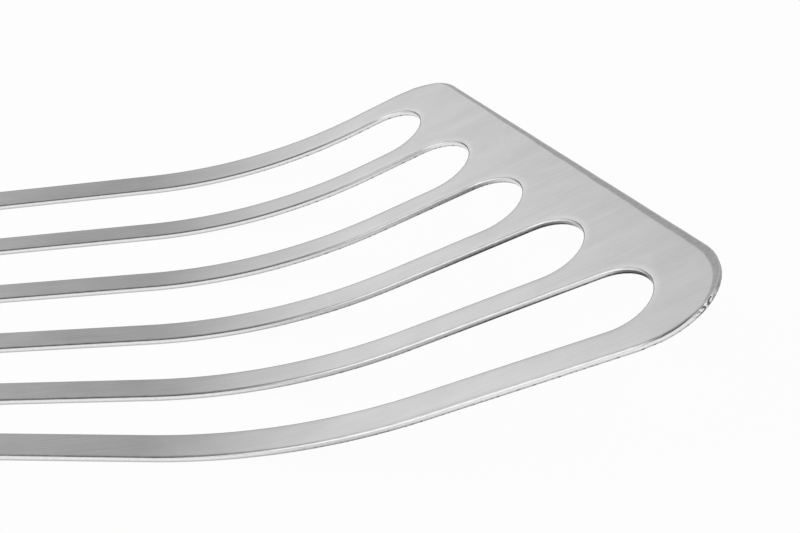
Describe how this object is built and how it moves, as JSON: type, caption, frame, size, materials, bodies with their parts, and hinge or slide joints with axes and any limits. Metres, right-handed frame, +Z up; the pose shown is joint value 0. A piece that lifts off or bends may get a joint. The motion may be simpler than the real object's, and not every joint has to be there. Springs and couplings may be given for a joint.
{
  "type": "slotted spatula",
  "caption": "Thin slotted turner blade with a skewed bevelled front edge, bent softly up, on a cranked full tang riveted between two wooden scales with a hanging eyelet.",
  "frame": {"origin": "middle of the bounding box, at the height of the table that the tool lies on", "axes": "+X from the handle to the front edge, +Y to the straight side of the blade, +Z up from the table"},
  "size_m": [0.276, 0.0714, 0.0174],
  "materials": {
    "blade_steel": "satin, brushed along the tines",
    "scale_wood": "oiled satin",
    "rivet_metal": "ground flush and polished"
  },
  "bodies": {
    "root": {"blade": "blade_steel", "upper_scale": "scale_wood", "lower_scale": "scale_wood", "front_rivet_post": "rivet_metal", "front_rivet_tube": "rivet_metal", "middle_rivet_post": "rivet_metal", "middle_rivet_tube": "rivet_metal", "rear_rivet_post": "rivet_metal", "rear_rivet_tube": "rivet_metal", "hanging_eyelet": "rivet_metal"}
  },
  "joints": []
}
